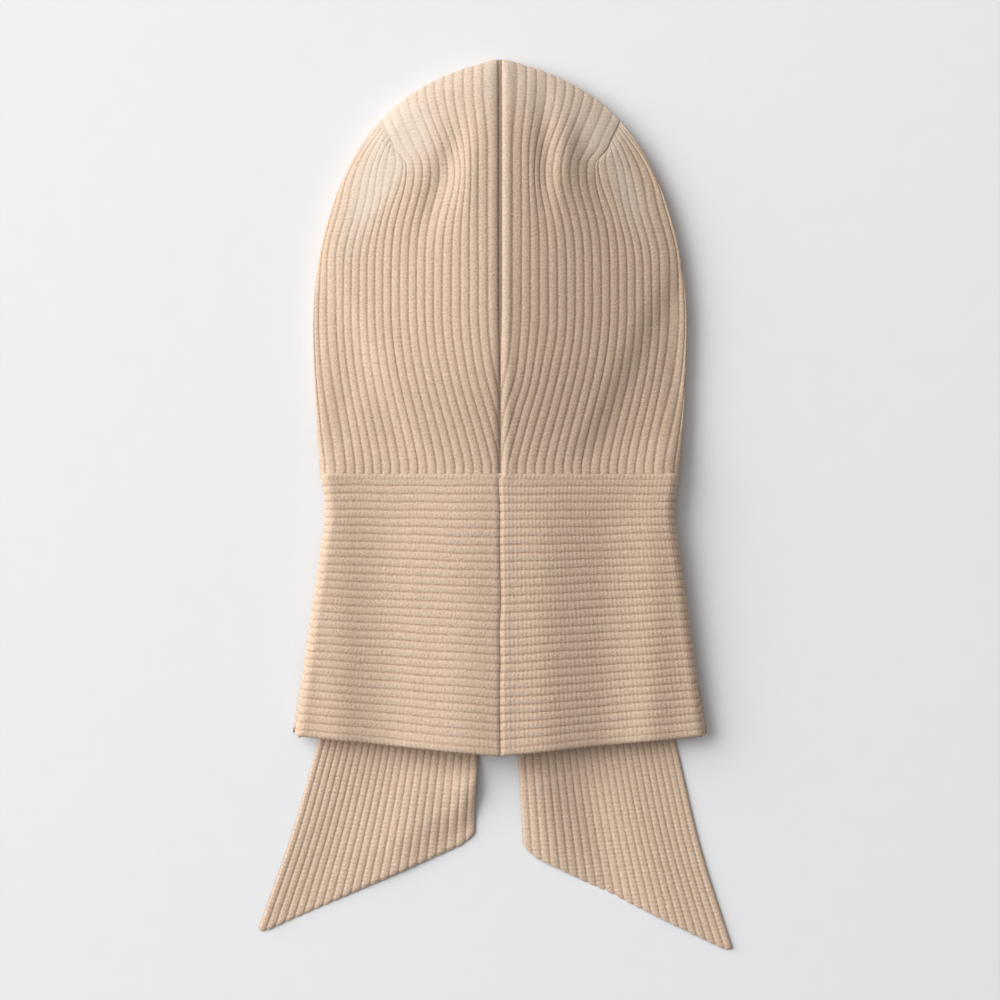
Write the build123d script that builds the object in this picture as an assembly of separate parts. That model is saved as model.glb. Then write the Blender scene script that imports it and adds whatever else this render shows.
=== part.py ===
from build123d import *
import math
import os

os.makedirs("parts", exist_ok=True)

# A knitted balaclava hood with a flared collar and two ribbed tie ends, lying flat on its face
# opening. +Z is up and the back of the head faces it, +Y points to the crown, x = 0 is the
# centre seam. The origin is the middle of the bounding box, on the surface it lies on.

# Hood, mm
CROWN_Y = 284.8            # top edge of the crown
CROWN_BASE_Y = 110.8       # where the crown's half ellipse starts
HOOD_HALF_WIDTH = 119.7
HOOD_TOP_Z = 36.0          # the puffed back of the head
HOOD_SIDE_Z = 9.0          # height of the fold at the hood's sides
NAPE_Y = 50.0              # where the hood starts to run down to the neck
NAPE_HALF_WIDTH = 117.6
NAPE_TOP_Z = 30.0

# Neck: the line where hood and collar are linked
NECK_Y = 18.0
NECK_HALF_WIDTH = 115.0
NECK_BASE_Z = 6.5
NECK_SIDE_Z = 13.0
NECK_TOP_Z = 26.0

# Collar
WAIST_Y = -1.0
WAIST_HALF_WIDTH = 113.6
FLARE_Y = -20.0
FLARE_HALF_WIDTH = 115.0
FLARE_SLOPE = 0.142        # how much wider each side gets per mm towards the hem
COLLAR_TOP_DROP = 3.0      # how much lower the back layer lies at the hem than at the neck
HEM_CENTRE_Y = -162.6      # lowest point of the back hem, on the seam
HEM_SLOPE = 0.115          # rise of the hem towards the sides
FRONT_HEM_RISE = 8.0       # the front hem is this much shorter
HEM_CUT_Y = -175.0         # beyond the hem, where the collar's form ends before it is trimmed

# Knit
WALL = 4.5                 # thickness of one ribbed layer
BASE_FULLNESS = 0.7        # share of the lower ellipse that is cut off flat
SEAM_HALF_WIDTH = 1.25
SEAM_SINK = 0.8            # the centre seams lie this far below the ribs
LINK_WIDTH = 2.4           # length of the linked row at the neck

# Face opening, an ellipse in the front layer
FACE_Y = 134.0
FACE_HALF_WIDTH = 57.0
FACE_HALF_HEIGHT = 70.0
BAND_WIDTH = 18.0
BAND_THICKNESS = 5.0
FACE_LINK_WIDTH = 1.5

# Tie ends
TAIL_THICKNESS = 5.5
TAIL_ROOT_Y = 2.0
TAIL_FOLD_Y = -174.0       # where the free end bends up, just below the hem
TAIL_TIP_X = 151.5         # both tips stand this far out
LEFT_ROOT_X = (-66.0, -2.0)
LEFT_INNER_END = (-15.8, -212.5)
LEFT_TIP_Y = -274.6
RIGHT_ROOT_X = (2.0, 68.5)
RIGHT_INNER_END = (16.0, -222.1)
RIGHT_TIP_Y = -CROWN_Y
TAIL_SEAM_HEIGHT = 0.7
TAIL_SEAM_LENGTH = 4.0
TAIL_SEAM_MARGIN = 3.0

# Labels, blank woven tape
LABEL_THICKNESS = 0.6
NECK_LABEL_SIZE = (24.0, 15.0)
CARE_LABEL_SIZE = (20.0, 38.0)
CARE_LABEL_X = -74.0

BODY_GAP = 0.3             # clearance between pieces that move apart
REACH = 400.0              # larger than the object, for the cutting solids


def section(half_width, base_z, side_z, top_z, y):
    """Cross-section of the knitted tube: a crowned back over a flat front, as a face across Y."""
    lower_radius = (side_z - base_z) / BASE_FULLNESS
    flat_angle = math.degrees(math.asin(BASE_FULLNESS))
    flat_half = half_width * math.cos(math.radians(flat_angle))
    centre = (0, side_z)
    crown = EllipticalCenterArc(centre, half_width, top_z - side_z, 0, arc_size=180)
    left = EllipticalCenterArc(centre, half_width, lower_radius, 180, arc_size=flat_angle)
    base = Line((-flat_half, base_z), (flat_half, base_z))
    right = EllipticalCenterArc(centre, half_width, lower_radius, -flat_angle, arc_size=flat_angle)
    face = make_face([crown, left, base, right])
    return Plane(origin=(0, y, 0), x_dir=(1, 0, 0), z_dir=(0, -1, 0)) * face


def crown_form(inset):
    """Rounded end of the hood: two quarter ellipsoids that meet at the side fold."""
    half_width = HOOD_HALF_WIDTH - inset
    length = CROWN_Y - CROWN_BASE_Y - inset
    lower_radius = (HOOD_SIDE_Z - inset) / BASE_FULLNESS
    flat_angle = math.degrees(math.asin(BASE_FULLNESS))
    upper = Sphere(1, 0, 90, 180, align=(Align.CENTER, Align.MIN, Align.MIN))
    upper = scale(upper, by=(half_width, length, HOOD_TOP_Z - inset - HOOD_SIDE_Z))
    lower = Sphere(1, -flat_angle, 0, 180, align=(Align.CENTER, Align.MIN, Align.MAX))
    lower = scale(lower, by=(half_width, length, lower_radius))
    return Pos(0, CROWN_BASE_Y, HOOD_SIDE_Z) * (upper + lower)


def hood_form(inset, neck_y=NECK_Y + BODY_GAP / 2):
    """The whole hood as a closed pillow, pulled in by inset all round but at the neck."""
    crown_face = section(HOOD_HALF_WIDTH - inset, inset, HOOD_SIDE_Z, HOOD_TOP_Z - inset, CROWN_BASE_Y)
    nape_face = section(NAPE_HALF_WIDTH - inset, inset, HOOD_SIDE_Z, NAPE_TOP_Z - inset, NAPE_Y)
    neck_face = section(NECK_HALF_WIDTH - inset, NECK_BASE_Z + inset, NECK_SIDE_Z, NECK_TOP_Z - inset, neck_y)
    return crown_form(inset) + loft([crown_face, nape_face, neck_face], ruled=True)


def collar_form(inset, neck_y):
    """The flared collar as a closed form that runs past the hem."""
    base_z = NECK_BASE_Z + inset
    hem_half_width = FLARE_HALF_WIDTH + FLARE_SLOPE * (FLARE_Y - HEM_CUT_Y)
    stations = [
        (NECK_HALF_WIDTH, neck_y),
        (WAIST_HALF_WIDTH, WAIST_Y),
        (FLARE_HALF_WIDTH, FLARE_Y),
        (hem_half_width, HEM_CUT_Y),
    ]
    faces = []
    for half_width, y in stations:
        drop = COLLAR_TOP_DROP * (NECK_Y - y) / (NECK_Y - HEM_CUT_Y)
        top_z = NECK_TOP_Z - drop - inset
        faces.append(section(half_width - inset, base_z, NECK_SIDE_Z, top_z, y))
    return loft(faces, ruled=True)


def block(x_range, y_range, z_range):
    """Box between two corners."""
    size = [high - low for low, high in (x_range, y_range, z_range)]
    centre = [(high + low) / 2 for low, high in (x_range, y_range, z_range)]
    return Pos(*centre) * Box(*size)


def prism(points, z_range):
    """Straight-sided solid over a plan polygon."""
    face = make_face(Polyline(*points, close=True))
    return Pos(0, 0, z_range[0]) * extrude(face, z_range[1] - z_range[0])


def oval(half_width, half_height, z_range):
    """Solid over the face opening's ellipse."""
    face = Pos(0, FACE_Y) * Ellipse(half_width, half_height)
    return Pos(0, 0, z_range[0]) * extrude(face, z_range[1] - z_range[0])


def below_hem(rise, z_range):
    """What the hem trims off: everything under two lines that meet at the centre seam."""
    centre_y = HEM_CENTRE_Y + rise
    side_y = centre_y + HEM_SLOPE * REACH
    points = [(0, centre_y), (REACH, side_y), (REACH, -REACH), (-REACH, -REACH), (-REACH, side_y)]
    return prism(points, z_range)


def save(solid, node):
    """Write one piece."""
    export_step(solid, f"parts/{node}.step")


FULL = (-REACH, REACH)
LEFT = (-REACH, 0)
RIGHT = (0, REACH)
seam_slab = block((-SEAM_HALF_WIDTH, SEAM_HALF_WIDTH), FULL, FULL)
band_half_width = FACE_HALF_WIDTH + BAND_WIDTH
band_half_height = FACE_HALF_HEIGHT + BAND_WIDTH
panel_half_width = band_half_width + FACE_LINK_WIDTH
panel_half_height = band_half_height + FACE_LINK_WIDTH


def make_hood():
    """Two panels from the centre-back seam round the sides to the face band, and their seams."""
    cavity = hood_form(WALL, NECK_Y - BODY_GAP)
    face_cut = oval(panel_half_width, panel_half_height, (-1, HOOD_SIDE_Z))
    shell = hood_form(0) - cavity - face_cut
    save(shell - seam_slab - block(RIGHT, FULL, FULL), "hood_left_panel")
    save(shell - seam_slab - block(LEFT, FULL, FULL), "hood_right_panel")

    strip = ((hood_form(SEAM_SINK) - cavity) & seam_slab) - face_cut
    chin_zone = block(FULL, (-REACH, FACE_Y), (-1, NECK_SIDE_Z))
    save(strip - chin_zone, "hood_centre_seam")
    save(strip & chin_zone, "chin_seam")


def make_face_band():
    """Ribbed band round the face opening, and the row that links it to the panels."""
    opening = oval(FACE_HALF_WIDTH, FACE_HALF_HEIGHT, (-1, HOOD_SIDE_Z))
    save(oval(band_half_width, band_half_height, (0, BAND_THICKNESS)) - opening, "face_band")
    link = oval(panel_half_width, panel_half_height, (SEAM_SINK, WALL))
    save(link - oval(band_half_width, band_half_height, (-1, HOOD_SIDE_Z)), "face_band_link")


def make_collar():
    """Collar panels, their back and front seams, and the row that links the hood to them."""
    link_y = NECK_Y - BODY_GAP / 2
    panel_y = link_y - LINK_WIDTH
    hem_trim = below_hem(0, FULL) + below_hem(FRONT_HEM_RISE, (-1, NECK_SIDE_Z))

    cavity = collar_form(WALL, link_y + 1)
    beyond_link = block(FULL, (panel_y, REACH), FULL)
    shell = collar_form(0, link_y) - cavity - hem_trim - beyond_link
    save(shell - seam_slab - block(RIGHT, FULL, FULL), "collar_left_panel")
    save(shell - seam_slab - block(LEFT, FULL, FULL), "collar_right_panel")

    strip = ((collar_form(SEAM_SINK, link_y) - cavity) & seam_slab) - hem_trim - beyond_link
    front_zone = block(FULL, FULL, (-1, NECK_SIDE_Z))
    save(strip - front_zone, "collar_back_seam")
    save(strip & front_zone, "collar_front_seam")

    ring = (collar_form(0, link_y) - cavity) & block(FULL, (panel_y, link_y), FULL)
    save(ring, "neck_link")


def make_tail(side, root_x, inner_end, tip_y):
    """One tie end: a pointed strip that fans out from the front neck, and its seam there."""
    sign = -1 if side == "left" else 1
    inner_x = max(root_x) if side == "left" else min(root_x)
    outer_x = min(root_x) if side == "left" else max(root_x)
    outline = [(inner_x, TAIL_ROOT_Y), (outer_x, TAIL_ROOT_Y), (sign * TAIL_TIP_X, tip_y), inner_end]
    strip = prism(outline, (0, TAIL_THICKNESS))
    save(strip & block(FULL, (TAIL_FOLD_Y + BODY_GAP / 2, REACH), FULL), f"{side}_tail_upper")
    save(strip & block(FULL, (-REACH, TAIL_FOLD_Y - BODY_GAP / 2), FULL), f"{side}_tail_end")

    seam_x = (min(root_x) + TAIL_SEAM_MARGIN, max(root_x) - TAIL_SEAM_MARGIN)
    seam_y = (TAIL_ROOT_Y - TAIL_SEAM_LENGTH, TAIL_ROOT_Y)
    seam_z = (NECK_BASE_Z - TAIL_SEAM_HEIGHT, NECK_BASE_Z)
    save(block(seam_x, seam_y, seam_z), f"{side}_tail_seam")


def make_labels():
    """A blank neck label and a blank care label, both caught in the neck link."""
    root_y = NECK_Y + BODY_GAP
    label_top = NECK_TOP_Z - WALL - BODY_GAP
    neck_half, neck_length = NECK_LABEL_SIZE[0] / 2, NECK_LABEL_SIZE[1]
    neck_z = (label_top - LABEL_THICKNESS, label_top)
    save(block((-neck_half, neck_half), (root_y, root_y + neck_length), neck_z), "neck_label")

    care_half, care_length = CARE_LABEL_SIZE[0] / 2, CARE_LABEL_SIZE[1]
    care_x = (CARE_LABEL_X - care_half, CARE_LABEL_X + care_half)
    care_z = (NECK_SIDE_Z, NECK_SIDE_Z + LABEL_THICKNESS)
    save(block(care_x, (root_y, root_y + care_length), care_z), "care_label")


make_hood()
make_face_band()
make_collar()
make_tail("left", LEFT_ROOT_X, LEFT_INNER_END, LEFT_TIP_Y)
make_tail("right", RIGHT_ROOT_X, RIGHT_INNER_END, RIGHT_TIP_Y)
make_labels()
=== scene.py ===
import math
import bpy
import numpy as np
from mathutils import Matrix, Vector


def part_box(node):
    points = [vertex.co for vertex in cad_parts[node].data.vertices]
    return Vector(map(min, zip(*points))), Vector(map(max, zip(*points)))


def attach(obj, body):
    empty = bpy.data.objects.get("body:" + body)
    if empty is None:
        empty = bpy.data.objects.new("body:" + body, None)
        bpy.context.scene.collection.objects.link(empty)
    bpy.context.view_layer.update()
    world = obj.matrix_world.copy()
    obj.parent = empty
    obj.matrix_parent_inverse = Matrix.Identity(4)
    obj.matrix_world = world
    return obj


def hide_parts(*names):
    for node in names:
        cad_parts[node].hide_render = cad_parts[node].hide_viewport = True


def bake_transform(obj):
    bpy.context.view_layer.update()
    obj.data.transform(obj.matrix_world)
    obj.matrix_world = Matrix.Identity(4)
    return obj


# A knitted balaclava hood that lies on its face opening, with a flared collar and two tie ends.
# Each piece is a grid of cloth whose ribs and stitches are raised in the mesh. Lengths are in
# millimetres until a mesh is made. Left and right panels are both laid out for x > 0, each with its
# own side's dents and rib spacing, and the left one is mirrored when its mesh is made.

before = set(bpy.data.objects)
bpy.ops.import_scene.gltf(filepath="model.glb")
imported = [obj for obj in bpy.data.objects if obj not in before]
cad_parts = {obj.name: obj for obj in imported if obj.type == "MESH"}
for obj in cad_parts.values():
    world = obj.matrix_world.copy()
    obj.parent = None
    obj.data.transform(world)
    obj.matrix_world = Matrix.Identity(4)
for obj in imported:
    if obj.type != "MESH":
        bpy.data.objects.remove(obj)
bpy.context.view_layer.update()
METRE = 1000.0
SIDES = {"left": -1, "right": 1}


def box_mm(node):
    """Lowest and highest corner of a CAD node, in millimetres."""
    low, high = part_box(node)
    return np.array(low) * METRE, np.array(high) * METRE


HOOD_LOW, HOOD_HIGH = box_mm("hood_right_panel")
COLLAR_LOW, COLLAR_HIGH = box_mm("collar_right_panel")
BAND_LOW, BAND_HIGH = box_mm("face_band")
BAND_LINK_LOW, BAND_LINK_HIGH = box_mm("face_band_link")
NECK_LINK_LOW, NECK_LINK_HIGH = box_mm("neck_link")

# Hood
CROWN_Y = HOOD_HIGH[1]
NECK_Y = (NECK_LINK_HIGH[1] + HOOD_LOW[1]) / 2
HOOD_START_Y = NECK_LINK_LOW[1]      # the ribs begin under the linked row
CROWN_BASE_Y = CROWN_Y - 174.0       # where the crown's half ellipse starts
CROWN_LENGTH = CROWN_Y - CROWN_BASE_Y
CROWN_SQUARENESS = 2.06              # 2 would make the crown's outline an ellipse
HALF_WIDTH = HOOD_HIGH[0]
NECK_TAPER = HALF_WIDTH - NECK_LINK_HIGH[0]
SEAM_HALF = HOOD_LOW[0]
SEAM_GAP = 0.7                       # the ribs beside the seam nearly close over it at the neck
OPEN_SEAM_GAP = 1.2                  # and gape a little over the back of the head
SEAM_UNREST = {"left": 0.5, "right": 1.6}   # how far ribs stray where they run into the seam
SEAM_SINK = 1.6                      # the cloth dips by this much at the seam
SEAM_SWELL = 0.8                     # and rises by this much beside it
HOOD_TOP_Z = HOOD_HIGH[2] - 0.8      # leaves room for the ribs
HOOD_EDGE_Z = {-1: 13.0, 1: 10.0}    # height where the top turns into the side, left and right
RIDGE_ROUNDING = 0.26                # how broad the ridge along the middle is, as a share of the half width
SIDE_Z = 9.0                         # height of the side fold
ROLL = 14.0                          # plan width of the rounded side above the fold
UNDER_ROLL = 8.0                     # and below it
TUCK = 8.0                           # how far the back layer reaches on under the fold
FRONT_LIFT = 0.4                     # how far the front layer lies inside the tucked cloth
FRONT_PITCH = 5.4                    # and the pitch of its ribs
CHEST_Y = 95.0                       # below this the hood runs down to the neck
SLACK_X = 46.0                       # the cloth sags outside a line that leaves the neck here
SLACK_Y = 15.0
SLACK_SLOPE = 0.49                   # and leans outwards by this much for each millimetre up
SLACK_DEPTH = 2.6
NECK_TOP_Z = NECK_LINK_HIGH[2] - 1.2
NECK_FALL = {-1: 7.5, 1: 7.8}        # how much lower the sides of the neck are, left and right
NECK_BASE_Z = NECK_LINK_LOW[2]
NECK_SIDE_Z = 10.5                   # height of the side fold at the neck

# Knit
STITCH = 2.75                        # length of one stitch along a rib
RIB_PITCH = 5.9
RIB_HEIGHT = 0.72
RIDGE_HEIGHT = 0.7                   # the collar's ridges
TAIL_RIB_HEIGHT = 0.68               # the tie ends' ribs
BAND_RIB_HEIGHT = 1.2                # the face band's ribs
START_RELIEF = 0.55                  # share of their height at which the hood's ribs leave the linked row
HIGHLIGHT_FLATTENS = 0.55                 # share of their height that the ribs lose under the painted highlights
UNDER = 2.8                          # cloth below the grooves
ACROSS = (0.0, 0.1, 0.25, 0.5, 0.75, 0.9)   # columns of mesh in one rib, from groove to groove
COARSE_U = 3                         # every third column carries on to the cloth's other face
COARSE_V = 8

# How the hood's ribs run
CROWN_RIBS = 12                      # these go over the crown, and the rest end at the side pleat
SIDE_RIBS = 27                       # up to where the cloth is tucked under
FIRST_RIB = 2.0                      # distance of the first groove from the centre seam
RIB_EASE = {"left": 0.026, "right": 0.018}   # how much closer together ribs are further out
NECK_PITCH = 5.83                    # rib pitch at the neck
LOST_RIBS = 3.1                      # ribs that run into the centre seam above the neck
TAPER_TOP_Y = 125.0                  # ribs lean towards the seam from here
TAPER_END_Y = 24.0                   # down to here
PINCH = 9.0                          # ribs draw in by this much at the crown's dart
PINCH_Y = 211.0
PINCH_LENGTH = 28.0
CROWN_SPREAD = 3.0                   # and spread again by this much over the crown
PLEAT_STEP = 5.2                     # the last crown ribs step outwards above the pleat
PLEAT_LOW_Y = 219.5                  # the pleat's lower end
PLEAT_HIGH_Y = 243.8                 # where it meets the side fold
PLEAT_RIBS = 8                       # side ribs that end between the two
PLEAT_UNDER_STEP = 3.4               # from one rib's end to the next, past the side fold
PLEAT_DRAW = 42.0                    # length over which a side rib is drawn to the pleat
PLEAT_SINK = 0.45                    # the side cloth runs on this far below the last crown rib
CREASE_DEPTH = 0.25                  # that rib dips by this much along the pleat
PLEAT_DROP = 0.65                    # and the side ribs by this much at their ends
SLIDE = 11.0                         # side ribs slip over the side fold by this much

# Collar
COLLAR_RIDGES = 33
COLLAR_STITCHES = (0, 43, 53, 95)    # counted to the back seam, both ends of the side roll, the front seam
COLLAR_SEAM_GAP = 0.35
HEM_CENTRE_Y = COLLAR_LOW[1]
HEM_SLOPE = 0.088                    # the hem rises by this much for each millimetre outwards
HEM_HALF_WIDTH = COLLAR_HIGH[0] - 0.8
FRONT_HEM_RISE = 8.0                 # the front layer's hem lies this much higher
WAIST_Y = -1.0                       # the collar is narrowest here
WAIST_HALF = 112.4
FLARE_Y = -20.0                      # and widens evenly from here to the hem
FLARE_HALF = 113.8
COLLAR_TOP_DROP = 3.0                # the hem lies this much lower than the neck
HEM_CORNER_DROP = 2.0                # the hem's corners lie this much lower still
COLLAR_ROLL = 6.5
HEM_SIDE_Z = 5.8                     # height of the collar's side fold at its hem

# Tie ends
TAIL_RIBS = 23
TAIL_Z = 1.2                         # height of the cloth's grooves
# Plan of each tie end: where its root starts and ends beside the seam, its inner corner and its tip.
# "bow" is how far the outer edge swings out, or in where it is negative, and "curl" how far the inner
# edge stands up. "waves" are soft waves over tenths of the width and length, as HOOD_FOLDS.
LEFT_TAIL = {
    "root": (6.0, 68.0),
    "inner_end": (16.4, -216.5),
    "tip": (158.0, -278.5),
    "bow": -2.6,
    "curl": 6.0,
    "waves": ((3.0, 8.0, 3.0, 1.4, 80, 1.0), (7.5, 8.5, 3.0, 1.6, 70, -0.6)),
}
RIGHT_TAIL = {
    "root": (2.0, 71.0),
    "inner_end": (15.0, -224.5),
    "tip": (152.0, -290.5),
    "bow": -3.6,
    "curl": 2.0,
    "waves": ((1.2, 8.0, 3.0, 1.0, 90, 1.2), (3.8, 8.0, 3.0, 1.2, 80, -1.4), (7.0, 8.5, 3.0, 1.6, 80, 0.8)),
}

# Face band
BAND_RIBS = 96
BAND_WIDTH = 18.0
BAND_Z = 1.6                         # height of its grooves at the edges


def smooth(t):
    """Smooth step from 0 to 1."""
    t = np.clip(t, 0, 1)
    return t * t * (3 - 2 * t)


def ramp(value, start, end):
    """0 before start, 1 after end; start may be the larger."""
    return smooth((value - start) / (end - start))


def bell(value, centre, width):
    """Bump of height 1."""
    return np.exp(-(((value - centre) / width) ** 2))


def mix(a, b, share):
    """a where share is 0 and b where it is 1."""
    return a + (b - a) * share


def wobble(a, b, seed):
    """Smooth noise from about -1 to 1, with features a few units wide."""
    rng = np.random.default_rng(seed)
    total = 0
    for turn, phase, rate in rng.uniform((0, 0, 0.5), (6.28, 6.28, 1.5), (7, 3)):
        total = total + np.sin(rate * (a * math.cos(turn) + b * math.sin(turn)) + phase)
    return total / 4


def grain(shape, seed):
    """Rough noise from -1 to 1 for every point of a grid."""
    return np.random.default_rng(seed).uniform(-1, 1, shape)


# ---------------------------------------------------------------- knit


def knit_relief(rib, stitch, seed=0, dent=0.17):
    """Height of ribbed knit over its grooves, from 0 to 1; rib and stitch count ribs and stitches."""
    uneven = 0.16 * wobble(rib * 2.1, stitch * 0.45, seed)
    across = 2 * np.abs(rib - np.floor(rib) - 0.5)
    pulse = np.cos(2 * np.pi * (stitch + uneven))
    body = 1 - (across * (1 - 0.08 * pulse)) ** 3.0
    hole = bell(across, 0, 0.34) * (0.5 - 0.5 * pulse)
    return body * (0.96 + 0.24 * dent * pulse) - dent * hole + 0.09 * body * grain(np.shape(body), seed)


def edge_drop(inward):
    """How far a rounded edge falls, from 0 where inward is 1 to nearly 1 where it is 0."""
    return 1 - np.sqrt(np.clip(1 - (1 - np.clip(inward, 0, 1)) ** 2, 0.05, 1))


def rib_samples(first, last):
    """Rib coordinates of a grid's columns."""
    return np.array([rib + part for rib in range(first, last) for part in ACROSS] + [last])


class Cloth:
    """Gathers closed slabs of cloth into one mesh."""

    def __init__(self):
        self.points = []
        self.faces = []
        self.knit = []
        self.pale = []
        self.count = 0

    def add(self, surface, relief, rib, stitch, under=UNDER, step=(COARSE_U, COARSE_V), pale=None):
        """A slab over a grid: a fine raised face, a coarse one below it, and rims between them.

        under is the cloth below the grooves, one number or one for each point. step is how many columns
        and rows of the fine face one of the coarse face spans. The last argument is how strong the painted
        highlight is there, from 0 to 1, which lightens the colour."""
        normal = np.cross(np.gradient(surface, axis=0), np.gradient(surface, axis=1))
        normal /= np.maximum(np.linalg.norm(normal, axis=2, keepdims=True), 1e-9)
        top = surface + normal * relief[..., None]
        su, sv = step
        coarse = (slice(None, None, su), slice(None, None, sv))
        thickness = np.broadcast_to(under, relief.shape)[coarse] + 0.5 * relief[coarse]
        bottom = surface[coarse] - normal[coarse] * thickness[..., None]

        fine_id = self.count + np.arange(top.shape[0] * top.shape[1]).reshape(top.shape[:2])
        first_bottom = self.count + fine_id.size
        coarse_id = first_bottom + np.arange(bottom.shape[0] * bottom.shape[1]).reshape(bottom.shape[:2])
        self.points += [top.reshape(-1, 3), bottom.reshape(-1, 3)]
        knit = np.stack(np.broadcast_arrays(rib, stitch), axis=2)
        self.knit += [knit.reshape(-1, 2), knit[coarse].reshape(-1, 2)]
        pale = np.zeros(relief.shape) if pale is None else pale
        self.pale += [pale.ravel(), 0 * pale[coarse].ravel()]
        self.count = first_bottom + coarse_id.size

        self.faces += quads(fine_id) + quads(coarse_id[:, ::-1])
        self.faces += rim(fine_id[:, 0], coarse_id[:, 0], su, False)
        self.faces += rim(fine_id[:, -1], coarse_id[:, -1], su, True)
        self.faces += rim(fine_id[0], coarse_id[0], sv, True)
        self.faces += rim(fine_id[-1], coarse_id[-1], sv, False)

    def build(self, name, material, mirrored=False):
        """The finished object."""
        points = np.concatenate(self.points) / METRE
        faces = self.faces
        if mirrored:
            points = points * (-1, 1, 1)
            faces = [face[::-1] for face in faces]
        mesh = bpy.data.meshes.new(name)
        mesh.from_pydata(points.tolist(), [], faces)
        layer = mesh.uv_layers.new(name="knit")
        corner = np.empty(len(mesh.loops), np.int32)
        mesh.loops.foreach_get("vertex_index", corner)
        layer.data.foreach_set("uv", np.concatenate(self.knit)[corner].astype(np.float32).ravel())
        # The painted highlights go to the mesh as a point attribute, which the material reads.
        highlight_layer = mesh.attributes.new("pale", "FLOAT", "POINT")
        highlight_layer.data.foreach_set("value", np.concatenate(self.pale).astype(np.float32))
        mesh.polygons.foreach_set("use_smooth", np.ones(len(mesh.polygons), bool))
        mesh.materials.append(material)
        piece = bpy.data.objects.new(name, mesh)
        bpy.context.scene.collection.objects.link(piece)
        return piece


def quads(ids):
    """Faces of a grid of vertex numbers."""
    corners = (ids[:-1, :-1], ids[1:, :-1], ids[1:, 1:], ids[:-1, 1:])
    return np.stack(corners, axis=2).reshape(-1, 4).tolist()


def rim(fine, coarse, step, turned):
    """Faces that close a slab's edge, each from a run of fine vertices to two coarse ones."""
    faces = []
    for i in range(len(coarse) - 1):
        run = fine[i * step:(i + 1) * step + 1].tolist()
        face = [int(coarse[i]), int(coarse[i + 1])] + run[::-1]
        faces.append(face[::-1] if turned else face)
    return faces


def even_rows(points, ends, rows):
    """Moves a grid's rows so that they are evenly spaced along each column, up to its end index."""
    steps = np.linalg.norm(np.diff(points, axis=1), axis=2)
    along = np.concatenate([np.zeros((len(points), 1)), np.cumsum(steps, axis=1)], axis=1)
    result = np.empty((len(points), rows, 3))
    distance = np.empty((len(points), rows))
    for i, end in enumerate(ends):
        distance[i] = np.linspace(0, along[i, end], rows)
        for axis in range(3):
            result[i, :, axis] = np.interp(distance[i], along[i], points[i, :, axis])
    return result, distance


# ---------------------------------------------------------------- hood


def hood_half_width(y):
    """Half width of the hood's outline at a height y."""
    below = np.clip((CROWN_BASE_Y - y) / (CROWN_BASE_Y - NECK_Y), 0, 1)
    above = np.clip((y - CROWN_BASE_Y) / CROWN_LENGTH, 0, 1)
    crown = (1 - above**CROWN_SQUARENESS) ** (1 / CROWN_SQUARENESS)
    return (HALF_WIDTH - NECK_TAPER * below**1.5) * crown


def hood_spread(x, y):
    """0 on the hood's middle line and 1 on its outline."""
    rise = np.maximum(y - CROWN_BASE_Y, 0) / CROWN_LENGTH
    across = x / hood_half_width(np.minimum(y, CROWN_BASE_Y))
    spread = (across**CROWN_SQUARENESS + rise**CROWN_SQUARENESS) ** (1 / CROWN_SQUARENESS)
    # The seam holds the crown up to a slight point.
    lean = x / np.maximum(rise * CROWN_LENGTH, 1)
    return spread * (1 + 0.02 * bell(lean, 0.23, 0.24) * ramp(lean, 0, 0.1))


# Dents and folds of the laid hood: x, y, length, width, direction in degrees, height.
HOOD_FOLDS = (
    (-37, 205, 34, 9, 70, -3.2),
    (-20, 212, 34, 7, 88, 1.2),
    (28, 228, 42, 6, 90, -2.0),
    (41, 222, 26, 7, 85, 1.6),
    (58, 214, 30, 8, 108, -1.6),
    (78, 200, 42, 28, 95, -2.4),
    (-100, 62, 40, 13, 80, -1.6),
)


def folds(x, y, table):
    """Sum of long soft bumps and dents."""
    total = 0
    for centre_x, centre_y, length, width, direction, height in table:
        turn = math.radians(direction)
        along = (x - centre_x) * math.cos(turn) + (y - centre_y) * math.sin(turn)
        off = (y - centre_y) * math.cos(turn) - (x - centre_x) * math.sin(turn)
        total = total + height * bell(along, 0, length) * bell(off, 0, width)
    return total


# Painted highlights: paler places of the hood where light catches its pile, as HOOD_FOLDS.
HOOD_PAINTED_HIGHLIGHTS = (
    (-77, 212, 28, 14, 62, 1.0),
    (-86, 192, 34, 9, 68, 0.6),
    (80, 204, 30, 9, 113, 0.8),
    (62, 234, 20, 13, 45, 0.55),
    (-58, 236, 26, 16, 130, 0.75),
)


def hood_painted_highlight(x, y):
    """How strong the painted highlight on the hood is, over signed x: along its crown's edge and in a few
    patches.
    """
    spread = hood_spread(np.abs(x), y)
    crown = 0.5 * ramp(spread, 0.70, 0.93) * ramp(y, 215, 250)
    return np.clip(crown + folds(x, y, HOOD_PAINTED_HIGHLIGHTS), 0, 1) * ramp(y, 120, 150)


def neck_top(x):
    """Height of the upper face at the neck."""
    fall = np.where(x < 0, NECK_FALL[-1], NECK_FALL[1])
    return NECK_TOP_Z - fall * ramp(np.abs(x), 6, 94)


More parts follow.
